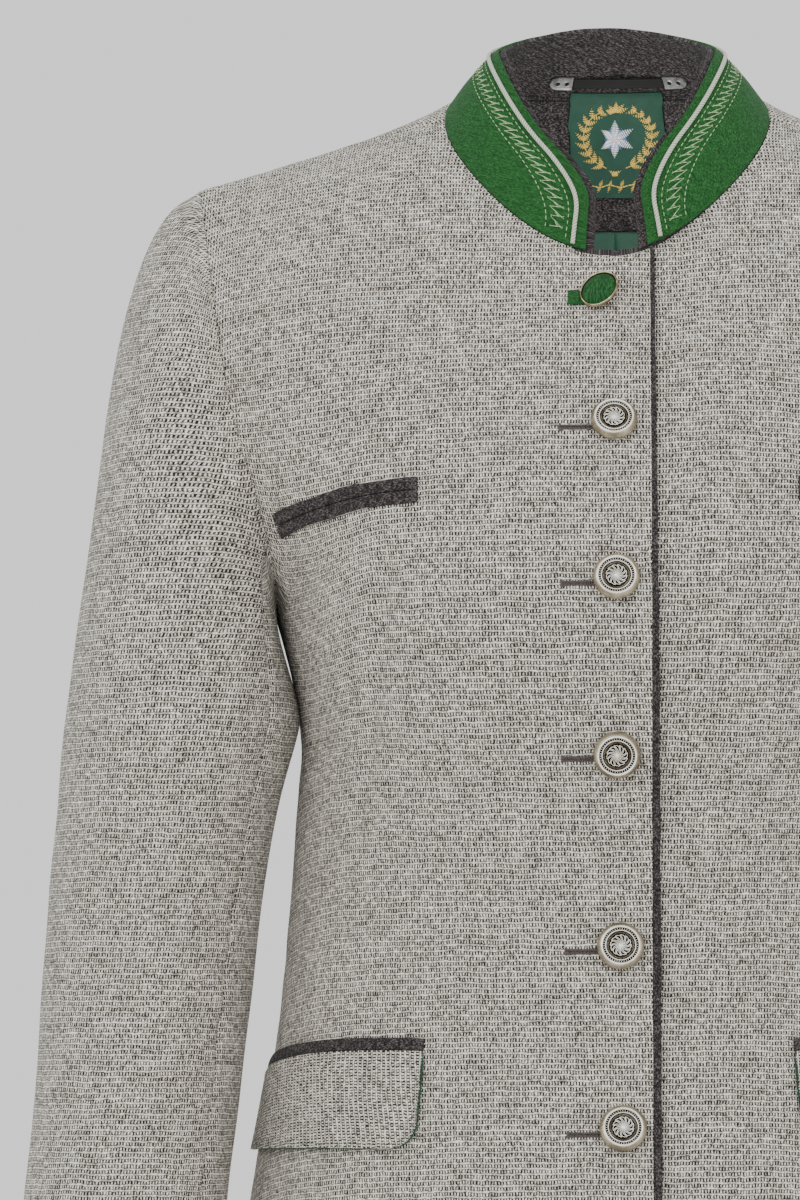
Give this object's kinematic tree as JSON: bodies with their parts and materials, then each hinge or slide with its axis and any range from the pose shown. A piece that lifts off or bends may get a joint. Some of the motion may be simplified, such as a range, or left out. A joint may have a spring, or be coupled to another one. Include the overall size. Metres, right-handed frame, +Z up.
{
  "type": "trachten frock coat",
  "caption": "Worn-shape traditional long wool coat with a stand collar, felt pocket welts, flaps and a buttoned front; hollow, open at neck, cuffs and hem.",
  "frame": {"origin": "midway between the two high shoulder points, where the shoulder seams meet the neckline", "axes": "+X to the wearer's left, +Y to the wearer's back, +Z up"},
  "size_m": [0.563, 0.3314, 0.9228],
  "materials": {
    "wool": "matte hopsack weave",
    "felt_green": "matte felt",
    "felt_charcoal": "matte felt",
    "cord": "twisted cord",
    "lining": "satin",
    "label": "woven label",
    "strap": "woven band",
    "steel": "brushed",
    "pewter": "antique, worn bright on its ridges"
  },
  "bodies": {
    "root": {"front_right": "wool", "back_right": "wool", "sleeve_upper_right": "wool", "sleeve_under_right": "wool", "hip_flap_right": "wool", "chest_welt_upper_right": "felt_charcoal", "chest_welt_lower_right": "felt_charcoal", "hip_welt_right": "felt_charcoal", "hanger_plate_right": "steel", "front_left": "wool", "back_left": "wool", "sleeve_upper_left": "wool", "sleeve_under_left": "wool", "hip_flap_left": "wool", "chest_welt_upper_left": "felt_charcoal", "chest_welt_lower_left": "felt_charcoal", "hip_welt_left": "felt_charcoal", "hanger_plate_left": "steel", "front_piping": "felt_charcoal", "collar_inner": "felt_charcoal", "neck_facing": "felt_charcoal", "collar_outer": "felt_green", "top_button_felt": "felt_green", "buttonhole_tab": "felt_green", "collar_cord": "cord", "lining_strip": "lining", "neck_label": "label", "hanger_strap": "strap", "top_button_rim": "pewter", "button_1": "pewter", "button_2": "pewter", "button_3": "pewter", "button_4": "pewter", "button_5": "pewter"}
  },
  "joints": []
}
